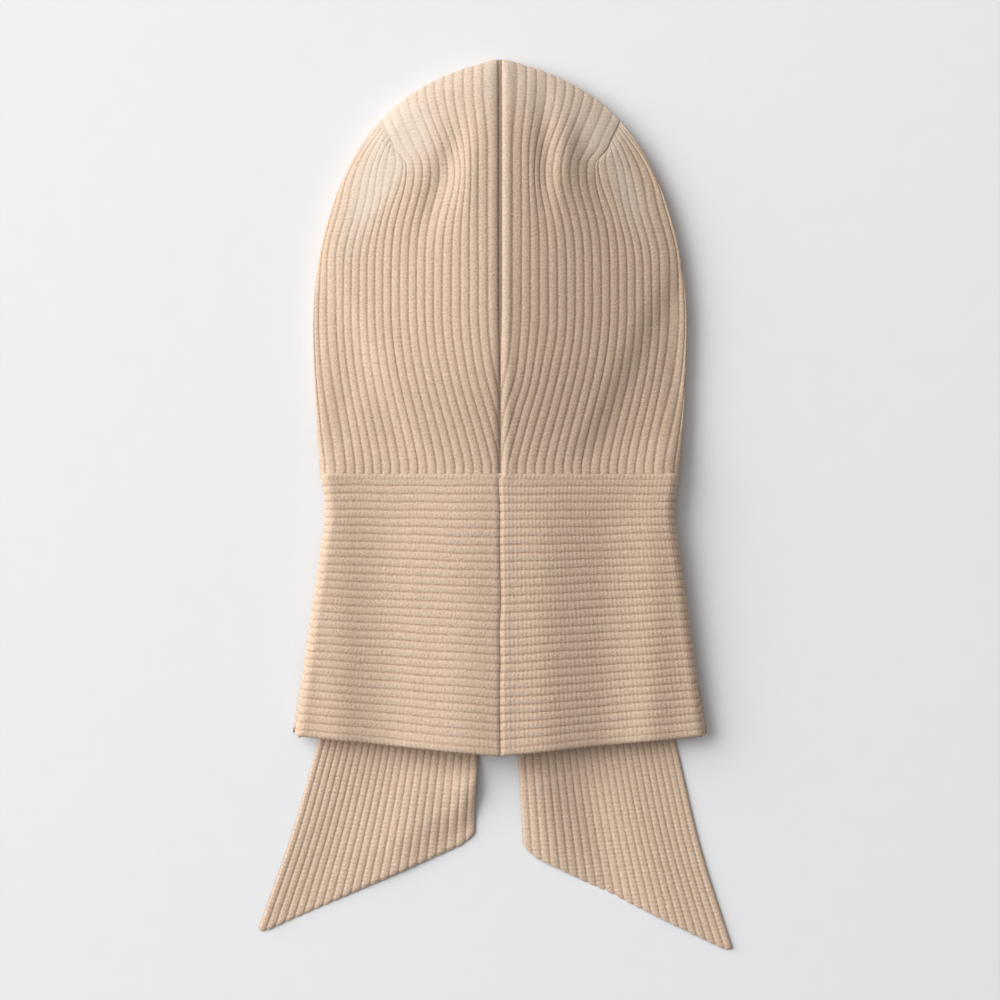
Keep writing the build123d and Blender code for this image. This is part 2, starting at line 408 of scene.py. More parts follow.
def hood_top(x, y):
    """Height of the hood's upper face without its ribs, over signed x."""
    across = np.minimum(np.abs(x) / np.maximum(hood_half_width(y), 12), 1)
    slope = np.hypot(across, RIDGE_ROUNDING) - RIDGE_ROUNDING
    edge = mix(HOOD_EDGE_Z[-1], HOOD_EDGE_Z[1], ramp(x, -12, 12))
    ridge = (HOOD_TOP_Z - edge) * (1 - np.clip((y - CROWN_BASE_Y) / CROWN_LENGTH, 0, 1) ** 3.3)
    z = edge + ridge * (1 - slope / (math.hypot(1, RIDGE_ROUNDING) - RIDGE_ROUNDING))
    z = mix(z, neck_top(x), ramp(y, CHEST_Y, NECK_Y))
    outside = np.abs(x) - (SLACK_X + SLACK_SLOPE * (y - SLACK_Y))
    z = z - SLACK_DEPTH * ramp(outside, -12, 10) * ramp(y, 165, 115) * ramp(y, NECK_Y, 45)
    z = z + folds(x, y, HOOD_FOLDS)
    return z - SEAM_SINK * bell(x, 0, 2.2) + SEAM_SWELL * bell(x, 5, 3.0)


def lift_hood(x, y, side):
    """Takes laid-out cloth positions to the hood's surface: past the outline they roll under.

    Also gives how far each lies past the roll, which is negative on the top and on the roll."""
    rise = np.maximum(y - CROWN_BASE_Y, 0)
    spread = np.maximum(hood_spread(x, y), 1e-6)
    distance = np.maximum(np.hypot(x, rise), 1e-6)
    reach = distance / spread
    beyond = distance - reach + ROLL

    start = np.minimum(distance, reach - ROLL) / distance
    top_y = np.where(rise > 0, CROWN_BASE_Y + rise * start, y)
    top_z = hood_top(side * x * start, top_y)
    neck = ramp(y, CHEST_Y, NECK_Y)
    side_z = mix(SIDE_Z, NECK_SIDE_Z, neck)
    base_z = mix(RIB_HEIGHT, NECK_BASE_Z + RIB_HEIGHT, neck)
    drop = np.maximum(top_z - side_z, 0.5)
    fall = side_z - base_z
    upper = np.pi / 2 * np.sqrt((ROLL**2 + drop**2) / 2)
    lower = np.pi / 2 * np.sqrt((UNDER_ROLL**2 + fall**2) / 2)

    turn = np.clip(beyond / upper, 0, 1) * np.pi / 2
    under_turn = np.clip((beyond - upper) / lower, 0, 1) * np.pi / 2
    under_flat = np.maximum(beyond - upper - lower, 0)
    above = beyond < upper
    below_inside = UNDER_ROLL * (1 - np.cos(under_turn)) + under_flat
    inside = np.where(above, ROLL * (1 - np.sin(turn)), below_inside)
    scale = (reach - inside) / distance
    rolling = beyond > 0
    out_x = np.where(rolling, x * scale, x)
    out_y = np.where(rolling & (rise > 0), CROWN_BASE_Y + rise * scale, y)
    sloping_z = side_z + np.maximum(hood_top(side * out_x, out_y) - side_z, 0.5) * np.cos(turn)
    out_z = np.where(above, sloping_z, side_z - fall * np.sin(under_turn))
    return np.stack([out_x, out_y, out_z], axis=-1), beyond - upper - lower


def seam_clear(x, rib, y):
    """Keeps the cloth off the centre seam: ribs that run into it end there."""
    gap = mix(SEAM_GAP, OPEN_SEAM_GAP, ramp(y, 95, 135))
    room = np.logaddexp(0, (x - gap) / 0.8) * 0.8
    return gap + room + 0.02 * rib


def crown_rib_x(rib, y, side):
    """Distance from the seam of a rib that goes over the crown."""
    middle = FIRST_RIB * np.minimum(rib, 1) + RIB_PITCH * rib - RIB_EASE[side] * rib**2
    down = np.clip((TAPER_TOP_Y - y) / (TAPER_TOP_Y - TAPER_END_Y), 0, 1)
    taper = mix(smooth(down**1.3), down**1.6, 0.5)
    x = mix(middle, NECK_PITCH * (rib - LOST_RIBS), taper)
    x = x - PINCH * ramp(rib, 1.5, 7) * bell(y, PINCH_Y, PINCH_LENGTH)
    x = x + (CROWN_SPREAD + 0.06 * middle) * np.minimum(rib, 1) * ramp(y, 225, 268)
    x = x + PLEAT_STEP * ramp(rib, 8, CROWN_RIBS) * ramp(y, 217, 229)
    x = x + 0.35 * wobble(rib * 0.9, y * 0.05, 5)
    unrest = SEAM_UNREST[side] * bell(y, 68, 34) * ramp(rib, 10, 5)
    x = x + unrest * wobble(rib * 0.8, y * 0.11, 7)
    return seam_clear(x, rib, y)


def loose_rib_x(rib, y, side):
    """Distance from the seam of a rib that follows the hood's side, before the pleat draws it in."""
    middle = FIRST_RIB + RIB_PITCH * rib - RIB_EASE[side] * rib**2
    outer = hood_half_width(y) - (HALF_WIDTH - middle) + SLIDE * ramp(y, 163, 234)
    follows_side = ramp(rib, CROWN_RIBS, CROWN_RIBS + 4) * ramp(y, 150, 205)
    return mix(crown_rib_x(rib, y, side), outer, follows_side)


def pleat_end_y(rib):
    """Where a side rib ends at the pleat, which runs on under the side fold."""
    past_first = rib - CROWN_RIBS
    end_share = np.clip(past_first / PLEAT_RIBS, 0, 1) ** 0.8
    under = np.maximum(past_first - PLEAT_RIBS, 0) * PLEAT_UNDER_STEP
    return mix(PLEAT_LOW_Y, PLEAT_HIGH_Y, end_share) + under


def side_rib_x(rib, y, side):
    """Distance from the seam of a rib that follows the hood's side and ends at the pleat."""
    end_y = pleat_end_y(rib)
    draw = crown_rib_x(CROWN_RIBS, end_y, side) - loose_rib_x(rib, end_y, side)
    return loose_rib_x(rib, y, side) + draw * ramp(y, end_y - PLEAT_DRAW, end_y)


def hood_crown_part(cloth, side):
    """The ribs next to the centre seam, from the neck over the crown."""
    sign = SIDES[side]
    rib = rib_samples(0, CROWN_RIBS)[:, None]
    y = np.linspace(HOOD_START_Y, CROWN_Y + 60, 700)[None, :]
    x = crown_rib_x(rib, y, side)
    points, past = lift_hood(x, y + 0 * x, sign)
    ends = np.argmax(past > TUCK, axis=1)
    surface, distance = even_rows(points, ends, 8 * 62 + 1)
    crease = ramp(rib, CROWN_RIBS - 1.3, CROWN_RIBS) * ramp(surface[..., 1], PLEAT_LOW_Y - 6, PLEAT_LOW_Y + 6)
    surface[..., 2] -= CREASE_DEPTH * crease * (surface[..., 2] > SIDE_Z)
    width = np.gradient(surface[..., 0], axis=0) / np.gradient(rib[:, 0])[:, None]
    squeezed = np.clip(width / RIB_PITCH * 2.2, 0, 1)
    squeezed = np.where(surface[..., 1] > TAPER_TOP_Y, 1, squeezed)
    stitch = distance / STITCH
    relief = RIB_HEIGHT * knit_relief(rib + 0 * stitch, stitch, 11 + sign) * squeezed
    relief = relief * mix(START_RELIEF, 1, ramp(distance, 0, 4))
    pale = hood_painted_highlight(sign * surface[..., 0], surface[..., 1])
    relief = relief * (1 - HIGHLIGHT_FLATTENS * pale)
    cloth.add(surface, relief, rib + 0 * stitch, stitch, pale=pale)


def hood_side_part(cloth, side):
    """The ribs that follow the side of the hood and end at the pleat."""
    sign = SIDES[side]
    # A narrow strip goes on under the last crown rib.
    strip = [CROWN_RIBS - 0.5, CROWN_RIBS - 0.2, CROWN_RIBS - 0.1]
    rib = np.concatenate([strip, rib_samples(CROWN_RIBS, SIDE_RIBS)])[:, None]
    y = mix(HOOD_START_Y, pleat_end_y(rib), np.linspace(0, 1, 500)[None, :])
    x = side_rib_x(rib + 0 * y, y, side)
    points, _ = lift_hood(x, y, sign)
    surface, distance = even_rows(points, [points.shape[1] - 1] * len(points), 8 * 44 + 1)
    length = distance[:, -1:]
    surface[..., 2] -= PLEAT_DROP * ramp(length - distance, 7, 0) * (surface[..., 2] > SIDE_Z)
    stitch = distance / STITCH
    relief = RIB_HEIGHT * knit_relief(rib + 0 * stitch, stitch, 21 + sign)
    relief = relief * mix(START_RELIEF, 1, ramp(distance, 0, 4))
    relief = relief * ramp(length - distance, 0, 2.5)
    relief = np.where(rib < CROWN_RIBS, -PLEAT_SINK, relief)
    pale = hood_painted_highlight(sign * surface[..., 0], surface[..., 1])
    relief = relief * (1 - HIGHLIGHT_FLATTENS * pale)
    under = mix(0.3, UNDER, ramp(length - distance, 1, 9))
    cloth.add(surface, relief, rib + 0 * stitch, stitch, under=under, pale=pale)


def face_edge_x(y):
    """Where the front layer ends at the face band, or at the centre seam above and below it."""
    middle_y = (BAND_LINK_LOW[1] + BAND_LINK_HIGH[1]) / 2
    half_height = (BAND_LINK_HIGH[1] - BAND_LINK_LOW[1]) / 2
    up = np.clip(np.abs(y - middle_y) / half_height, 0, 1)
    return np.maximum(BAND_LINK_HIGH[0] * np.sqrt(1 - up**2), SEAM_HALF)


def hood_front_part(cloth, side):
    """The front layer, from the tucked side to the face band."""
    sign = SIDES[side]
    side_inset = UNDER_ROLL - 2
    crown_inset = UNDER_ROLL + 2
    y = np.linspace(NECK_Y, CROWN_Y - crown_inset - 0.5, 8 * 20 + 1)[None, :]
    above = np.clip((y - CROWN_BASE_Y) / (CROWN_LENGTH - crown_inset), 0, 1)
    outer = (hood_half_width(np.minimum(y, CROWN_BASE_Y)) - side_inset) * np.sqrt(1 - above**2)
    inner = np.minimum(face_edge_x(y), outer - 0.3)
    x = mix(outer, inner, np.linspace(0, 1, 3 * 24 + 1)[:, None])
    base_z = RIB_HEIGHT + FRONT_LIFT
    z = mix(base_z, NECK_BASE_Z + base_z, ramp(y, CHEST_Y, NECK_Y)) + 0 * x
    surface = np.stack([x, y + 0 * x, z], axis=2)
    rib = (HALF_WIDTH - x) / FRONT_PITCH + SIDE_RIBS
    stitch = surface[..., 1] / STITCH
    relief = RIB_HEIGHT * knit_relief(rib, stitch, 31 + sign)
    cloth.add(surface, relief, rib, stitch)


def make_hood_panel(side, material):
    cloth = Cloth()
    hood_crown_part(cloth, side)
    hood_side_part(cloth, side)
    hood_front_part(cloth, side)
    piece = cloth.build(f"hood_{side}_knit", material, mirrored=side == "left")
    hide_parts(f"hood_{side}_panel")
    return piece


# ---------------------------------------------------------------- collar


# Flutes of the laid collar: x, half width, height at the hem.
COLLAR_FLUTES = (
    (-104, 14, 2.4),
    (-72, 16, -1.6),
    (-24, 18, 1.4),
    (29, 16, 2.2),
    (68, 14, -1.8),
    (97, 12, 2.4),
)


def collar_half_width(y):
    """Half width of the collar's outline."""
    slope = (HEM_HALF_WIDTH - FLARE_HALF) / (FLARE_Y - (HEM_CENTRE_Y + HEM_SLOPE * HEM_HALF_WIDTH))
    flare = FLARE_HALF + slope * (FLARE_Y - y)
    neck = mix(WAIST_HALF, NECK_LINK_HIGH[0], ramp(y, WAIST_Y, NECK_Y + 4))
    return mix(neck, flare, ramp(y, WAIST_Y + 6, FLARE_Y - 10))


def collar_fall(y):
    """0 at the neck and 1 at the hem."""
    return np.clip((NECK_Y - y) / (NECK_Y - HEM_CENTRE_Y), 0, 1)


def collar_top(x, y):
    """Height of the collar's upper face without its ridges."""
    down = collar_fall(y)
    z = neck_top(x) - (COLLAR_TOP_DROP + HEM_CORNER_DROP * ramp(np.abs(x), 70, 125)) * down
    for centre, width, height in COLLAR_FLUTES:
        z = z + height * bell(x, centre, width) * (0.3 + 0.7 * down) * ramp(down, 0, 0.2)
    return z - 0.9 * bell(x, 0, 1.6) + 0.25 * bell(x, 4, 3.5)


def seam_drift(y):
    """How far the collar's back seam strays to the right."""
    return 0.6 * wobble(y * 0.16, 0, 91)


def lift_collar(x, y, side):
    """Takes laid-out cloth positions to the collar's surface, round the side and under."""
    half = collar_half_width(y)
    beyond = x - half + COLLAR_ROLL
    top_z = collar_top(side * np.minimum(x, half - COLLAR_ROLL), y)
    base_z = NECK_BASE_Z + RIB_HEIGHT
    side_z = mix(NECK_SIDE_Z, HEM_SIDE_Z, collar_fall(y))
    drop = np.maximum(top_z - side_z, 0.5)
    fall = side_z - base_z
    upper = np.pi / 2 * np.sqrt((COLLAR_ROLL**2 + drop**2) / 2)
    lower = np.pi / 2 * np.sqrt((COLLAR_ROLL**2 + fall**2) / 2)
    turn = np.clip(beyond / upper, 0, 1) * np.pi / 2
    under_turn = np.clip((beyond - upper) / lower, 0, 1) * np.pi / 2
    under_flat = np.maximum(beyond - upper - lower, 0)
    inside = np.where(
        beyond < upper, COLLAR_ROLL * (1 - np.sin(turn)), COLLAR_ROLL * (1 - np.cos(under_turn)) + under_flat
    )
    out_x = np.where(beyond > 0, half - inside, x)
    sloping_z = side_z + np.maximum(collar_top(side * out_x, y) - side_z, 0.5) * np.cos(turn)
    out_z = np.where(beyond < upper, sloping_z, side_z - fall * np.sin(under_turn))
    return np.stack([out_x, y, out_z], axis=-1), upper + lower


def make_collar_panel(side, material):
    """One half of the collar: a tube's side from the back seam round to the front seam.

    share is 0 at the back seam, 1 and 2 at the ends of the side roll, and 3 at the front seam."""
    sign = SIDES[side]
    share = np.concatenate([np.linspace(0, 1, 192)[:-1], np.linspace(1, 2, 40)[:-1], np.linspace(2, 3, 84)])
    share = share[:, None]
    ridge = rib_samples(0, COLLAR_RIDGES)[::-1][None, :]
    frontness = ramp(share, 1.15, 2.4)
    plan_share = np.where(share < 1, share, np.where(share < 2, 1, 3 - share))
    hem_y = HEM_CENTRE_Y + HEM_SLOPE * HEM_HALF_WIDTH * plan_share + FRONT_HEM_RISE * frontness
    neck_y = (NECK_LINK_LOW[1] + NECK_LINK_HIGH[1]) / 2 - 0.4
    y = mix(neck_y, hem_y, ridge / COLLAR_RIDGES)
    stitch = np.interp(share, (0, 1, 2, 3), COLLAR_STITCHES)
    scallop = 0.5 * np.abs(np.cos(np.pi * stitch)) * ramp(ridge, COLLAR_RIDGES - 1.2, COLLAR_RIDGES)
    y = y + scallop + 0.4 * wobble(share * 14, ridge * 0.5, 41 + sign)

    half = collar_half_width(y)
    flat_end = half - COLLAR_ROLL
    _, roll_length = lift_collar(half, y, sign)
    under_length = flat_end - SEAM_HALF
    back_x = mix(COLLAR_SEAM_GAP, flat_end, share)
    side_x = flat_end + roll_length * (share - 1)
    front_x = flat_end + roll_length + under_length * (share - 2)
    x = np.where(share < 1, back_x, np.where(share < 2, side_x, front_x))
    surface, _ = lift_collar(x, y, sign)
    surface[..., 0] += sign * seam_drift(surface[..., 1]) * bell(surface[..., 0], 0, 7) * (share < 1)
    stitch = stitch + 0 * y
    ridges = ridge + 0 * y
    relief = RIDGE_HEIGHT * knit_relief(ridges, stitch, 51 + sign, dent=0.05)
    relief = np.maximum(relief, 0.5 * ramp(ridges, 0.5, 0.2))
    plain = ramp(ridge, COLLAR_RIDGES - 2.2, COLLAR_RIDGES - 1)
    relief = relief * (1 - 0.45 * plain) + 0.35 * plain
    rounding = np.clip((ridge - COLLAR_RIDGES + 0.45) / 0.45, 0, 1)
    relief = relief - 1.6 * (1 - np.sqrt(1 - 0.95 * rounding**2))
    cloth = Cloth()
    cloth.add(surface, relief, ridges, stitch, under=2.6, step=(3, 6))
    piece = cloth.build(f"collar_{side}_knit", material, mirrored=side == "left")
    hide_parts(f"collar_{side}_panel")
    return piece


# ---------------------------------------------------------------- tie ends


def make_tail(side, shape, material):
    """A tie end: ribs that fan out from the front neck to a slanting end."""
    sign = SIDES[side]
    root_y = box_mm(f"{side}_tail_upper")[1][1]
    tip = np.array(shape["tip"])
    inner_end = np.array(shape["inner_end"])
    root_in = np.array([shape["root"][0], root_y])
    root_out = np.array([shape["root"][1], root_y])
    rib = rib_samples(0, TAIL_RIBS)[:, None]
    share = rib / TAIL_RIBS
    # Rows lie closer together on the free end, which shows.
    down = np.concatenate([np.linspace(0, 0.5, 8 * 14 + 1)[:-1], np.linspace(0.5, 1, 8 * 27 + 1)])[None, ::-1]
    start = mix(root_in, root_out, share)[:, None, :]
    end = mix(inner_end, tip, share)[:, None, :]
    full = np.linalg.norm(end - start, axis=2, keepdims=True)
    # Every rib ends in a small curve, and both corners of the end are blunt.
    scallop = 0.8 * (1 - (2 * (rib - np.floor(rib)) - 1) ** 2)
    blunt = 4.0 * (np.clip(1 - share / 0.08, 0, 1) ** 2 + np.clip(1 - (1 - share) / 0.06, 0, 1) ** 2)
    end = start + (end - start) * (1 + (scallop - blunt)[..., None] / full)
    plan = start + (end - start) * down[..., None]
    x, y = plan[..., 0], plan[..., 1]
    x = x + shape["bow"] * bell(share, 1, 0.5) * bell(down, 0.78, 0.2)
    length = np.linalg.norm(end - start, axis=2)
    stitch = length * down / STITCH
    from_end = length * (1 - down)
    shown = ramp(y, -160, -185)
    z = TAIL_Z + 2.0 * bell(share, 0.12, 0.3) * shown * ramp(from_end, 4, 30)
    z = z + shape["curl"] * bell(share, 0, 0.13) * shown * ramp(from_end, 8, 45)
    z = z + 1.5 * folds(share * 10, down * 10, shape["waves"]) * shown
    surface = np.stack([x, y, z + 0 * x], axis=2)
    relief = TAIL_RIB_HEIGHT * knit_relief(rib + 0 * y, stitch, 61 + sign)
    ribs_from_edge = np.minimum(share, 1 - share) * TAIL_RIBS
    relief = relief - edge_drop(ribs_from_edge / 0.4)
    relief = relief * (0.5 + 0.5 * ramp(from_end, 0, 4)) - 1.3 * edge_drop(from_end / 2.5)
    cloth = Cloth()
    cloth.add(surface, relief, rib + 0 * y, stitch, under=TAIL_Z - 0.2)
    piece = cloth.build(f"{side}_tail_knit", material, mirrored=side == "left")
    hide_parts(f"{side}_tail_upper", f"{side}_tail_end")
    return piece


# ---------------------------------------------------------------- seams, band and labels


def ribbon(name, middle, across, half_width, material, relief=0.5, under=1.2, sunk=0.0, groove=0.45):
    """A narrow chain-stitched strip along a line of points, its edges sunk between its neighbours.

    groove is how near its edges come to the painted shade of a groove, up to 0.5."""
    share = np.linspace(-1, 1, 7)[:, None]
    steps = np.linalg.norm(np.diff(middle, axis=0), axis=1)
    along = np.concatenate([[0], np.cumsum(steps)])
    rows = 4 * int(along[-1] / 0.7 / 4) + 1
    even = np.linspace(0, along[-1], rows)
    line = np.stack([np.interp(even, along, middle[:, axis]) for axis in range(3)], axis=1)
    side = np.stack([np.interp(even, along, across[:, axis]) for axis in range(3)], axis=1)
    surface = line[None] + share[..., None] * half_width * side[None]
    stitch = even[None, :] / STITCH + 0 * share
    chain = 0.5 + 0.5 * np.cos(2 * np.pi * (stitch + 0.3 * np.abs(share)))
    raised = relief * (1 - share**2) * (0.35 + 0.65 * chain) - sunk * share**4
    cloth = Cloth()
    cloth.add(surface, raised, 0.5 + groove * share + 0 * stitch, stitch, under=under, step=(2, 4))
    return cloth.build(name, material)


def make_hood_seam(material):
    """The sunken centre seam, from the neck over the crown to the forehead."""
    y = np.linspace(NECK_Y, CROWN_Y + 100, 900)
    points, past = lift_hood(0.001 + 0 * y, y, 1)
    stop = CROWN_Y - BAND_LINK_HIGH[1] - UNDER_ROLL
    middle = points[past < stop]
    middle = middle - [[0, 0, 0.2]]
    across = np.tile([1.0, 0, 0], (len(middle), 1))
    piece = ribbon("hood_centre_seam_knit", middle, across, SEAM_HALF + 0.9, material)
    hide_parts("hood_centre_seam")
    return piece


def make_chin_seam(material):
    """The short seam between the neck and the face band."""
    y = np.linspace(BAND_LINK_LOW[1], NECK_Y, 40)
    z = mix(RIB_HEIGHT, NECK_BASE_Z + RIB_HEIGHT, ramp(y, CHEST_Y, NECK_Y))
    middle = np.stack([0 * y, y, z], axis=1)
    across = np.tile([1.0, 0, 0], (len(middle), 1))
    piece = ribbon("chin_seam_knit", middle, across, SEAM_HALF + 0.9, material)
    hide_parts("chin_seam")
    return piece


def make_collar_seams(material):
    """The collar's back and front centre seams."""
    y = np.linspace(HEM_CENTRE_Y + 1.5, NECK_LINK_LOW[1], 200)
    back = np.stack([seam_drift(y), y, collar_top(0 * y, y) - 0.2], axis=1)
    across = np.tile([1.0, 0, 0], (len(y), 1))
    back_piece = ribbon("collar_back_seam_knit", back, across, SEAM_HALF + 0.7, material, relief=0.6)
    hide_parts("collar_back_seam")

    y = np.linspace(NECK_LINK_LOW[1], HEM_CENTRE_Y + FRONT_HEM_RISE + 1.5, 200)
    front = np.stack([0 * y, y, 0 * y + NECK_BASE_Z + RIB_HEIGHT], axis=1)
    front_piece = ribbon("collar_front_seam_knit", front, across, SEAM_HALF + 0.7, material)
    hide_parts("collar_front_seam")
    return back_piece, front_piece


def make_neck_link(material):
    """The linked row round the neck, between the hood's ribs and the collar."""
    y = (NECK_LINK_LOW[1] + NECK_LINK_HIGH[1]) / 2
    half = collar_half_width(np.array(y))
    _, roll_length = lift_collar(half, np.array(y), 1)
    total = 2 * (half - COLLAR_ROLL) + roll_length
    x = np.linspace(0, total, 500)
    right, _ = lift_collar(x, y + 0 * x, 1)
    left, _ = lift_collar(x, y + 0 * x, -1)
    left = left * (-1, 1, 1)
    loop = np.concatenate([right[::-1], left[1:]])
    loop[:, 2] += np.where(loop[:, 2] > NECK_SIDE_Z, 0.5, 0)
    across = np.tile([0, 1.0, 0], (len(loop), 1))
    piece = ribbon(
        "neck_link_knit", loop, across, 2.4, material, relief=0.45, under=1.6, sunk=0.6, groove=0.2
    )
    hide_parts("neck_link")
    return piece


def oval_points(half_width, half_height, angle):
    """Points on an ellipse round the face opening."""
    middle_y = (BAND_LOW[1] + BAND_HIGH[1]) / 2
    return half_width * np.cos(angle), middle_y + half_height * np.sin(angle)


def make_face_band(material):
    """The ribbed band round the face opening, its ribs square to the edge."""
    rib = rib_samples(0, BAND_RIBS)[::-1][:, None]
    angle = 2 * np.pi * rib / BAND_RIBS
    share = np.linspace(0, 1, 25)[None, :]
    inward = BAND_WIDTH * share
    x, y = oval_points(BAND_HIGH[0] - inward, (BAND_HIGH[1] - BAND_LOW[1]) / 2 - inward, angle)
    z = BAND_Z - 0.5 * bell(share, 0.5, 0.4) + 0 * x
    surface = np.stack([x, y, z], axis=2)
    stitch = inward / STITCH + 0 * x
    relief = BAND_RIB_HEIGHT * knit_relief(rib + 0 * x, stitch, 71)
    from_edge = np.minimum(share, 1 - share) * BAND_WIDTH
    relief = relief - 1.2 * edge_drop(from_edge / 2)
    cloth = Cloth()
    cloth.add(surface, relief, rib + 0 * x, stitch, under=2.6, step=(3, 3))
    piece = cloth.build("face_band_knit", material)
    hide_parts("face_band")
    return piece


def make_band_link(material):
    """The linked row between the face band and the panels."""
    angle = np.linspace(0, 2 * np.pi, 500)
    gap = (BAND_LINK_HIGH[0] - BAND_HIGH[0]) / 2
    x, y = oval_points(BAND_HIGH[0] + gap, (BAND_HIGH[1] - BAND_LOW[1]) / 2 + gap, angle)
    middle = np.stack([x, y, 0 * x + 2.0], axis=1)
    across = np.stack([-np.cos(angle), -np.sin(angle), 0 * angle], axis=1)
    piece = ribbon("face_band_link_knit", middle, across, 1.4, material, relief=0.7)
    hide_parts("face_band_link")
    return piece


def make_tail_seam(side, material):
    """The gathered seam that holds a tie end at the front neck."""
    low, high = box_mm(f"{side}_tail_seam")
    x = np.linspace(low[0], high[0], 60)
    y = (low[1] + high[1]) / 2 + 0 * x
    middle = np.stack([x, y, (low[2] + high[2]) / 2 + 0 * x], axis=1)
    across = np.tile([0, 1.0, 0], (len(x), 1))
    piece = ribbon(f"{side}_tail_seam_knit", middle, across, 1.9, material, relief=0.3, under=0.3)
    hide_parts(f"{side}_tail_seam")
    return piece


def make_label(node, fold, material):
    """A blank woven label, slightly curved, with a folded hem along its free end."""
    low, high = box_mm(node)
    x = np.linspace(low[0], high[0], 25)[:, None]
    y = np.linspace(low[1], high[1], 33)[None, :]
    across = (x - low[0]) / (high[0] - low[0])
    down = (y - low[1]) / (high[1] - low[1])
    z = low[2] + 0.35 - fold * (across - 0.5) ** 2 * down
    surface = np.stack(np.broadcast_arrays(x, y, z), axis=2)
    relief = 0.15 + 0.12 * ramp(down, 0.86, 0.9) + 0 * surface[..., 2]
    cloth = Cloth()
    cloth.add(surface, relief, x + 0 * y, y + 0 * x, under=0.2, step=(2, 2))
    piece = cloth.build(f"{node}_tape", material)
    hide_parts(node)
    return piece


# ---------------------------------------------------------------- materials

CAMEL = (0.615, 0.465, 0.35)
# Paler colour that the painted highlights turn the wool towards.
HIGHLIGHT_COLOUR = (0.655, 0.555, 0.462)
GROOVE_SHADE = (0.64, 0.55, 0.48)     # painted shade: what grooves and stitch holes keep of a yarn's colour, for the shade that falls in them
LABEL_TAPE = (0.70, 0.66, 0.58)


def new_material(name):
    """An empty node material and its shader."""
    material = bpy.data.materials.new(name)
    material.use_nodes = True
    return material, material.node_tree, material.node_tree.nodes["Principled BSDF"]


def math_node(tree, operation, a, b=None, clamp=False):
    """A Math node's output; a and b are sockets or numbers."""
    node = tree.nodes.new("ShaderNodeMath")
    node.operation = operation
    node.use_clamp = clamp
    for socket, value in zip(node.inputs, (a, b)):
        if isinstance(value, bpy.types.NodeSocket):
            tree.links.new(value, socket)
        elif value is not None:
            socket.default_value = value
    return node.outputs[0]


def noise_node(tree, scale, detail, vector):
    """A noise texture's value."""
    node = tree.nodes.new("ShaderNodeTexNoise")
    node.inputs["Scale"].default_value = scale
    node.inputs["Detail"].default_value = detail
    tree.links.new(vector, node.inputs["Vector"])
    return node.outputs["Fac"]


def colour_ramp(tree, value, stops):
    """Colour by value; stops are (place, colour)."""
    node = tree.nodes.new("ShaderNodeValToRGB")
    ramp_stops = node.color_ramp.elements
    while len(ramp_stops) < len(stops):
        ramp_stops.new(0.5)
    for stop, (place, colour) in zip(ramp_stops, stops):
        stop.position = place
        stop.color = (*colour, 1)
    tree.links.new(value, node.inputs["Fac"])
    return node.outputs["Color"]


def mix_colours(tree, share, first, second):
    """The colour of a socket turned towards a fixed one by a share."""
    node = tree.nodes.new("ShaderNodeMix")
    node.data_type = "RGBA"
    tree.links.new(share, node.inputs["Factor"])
    tree.links.new(first, node.inputs["A"])
    node.inputs["B"].default_value = second
    return node.outputs["Result"]


def shaded(colour, factor):
    """A colour made lighter or darker."""
    return tuple(channel * factor for channel in colour)


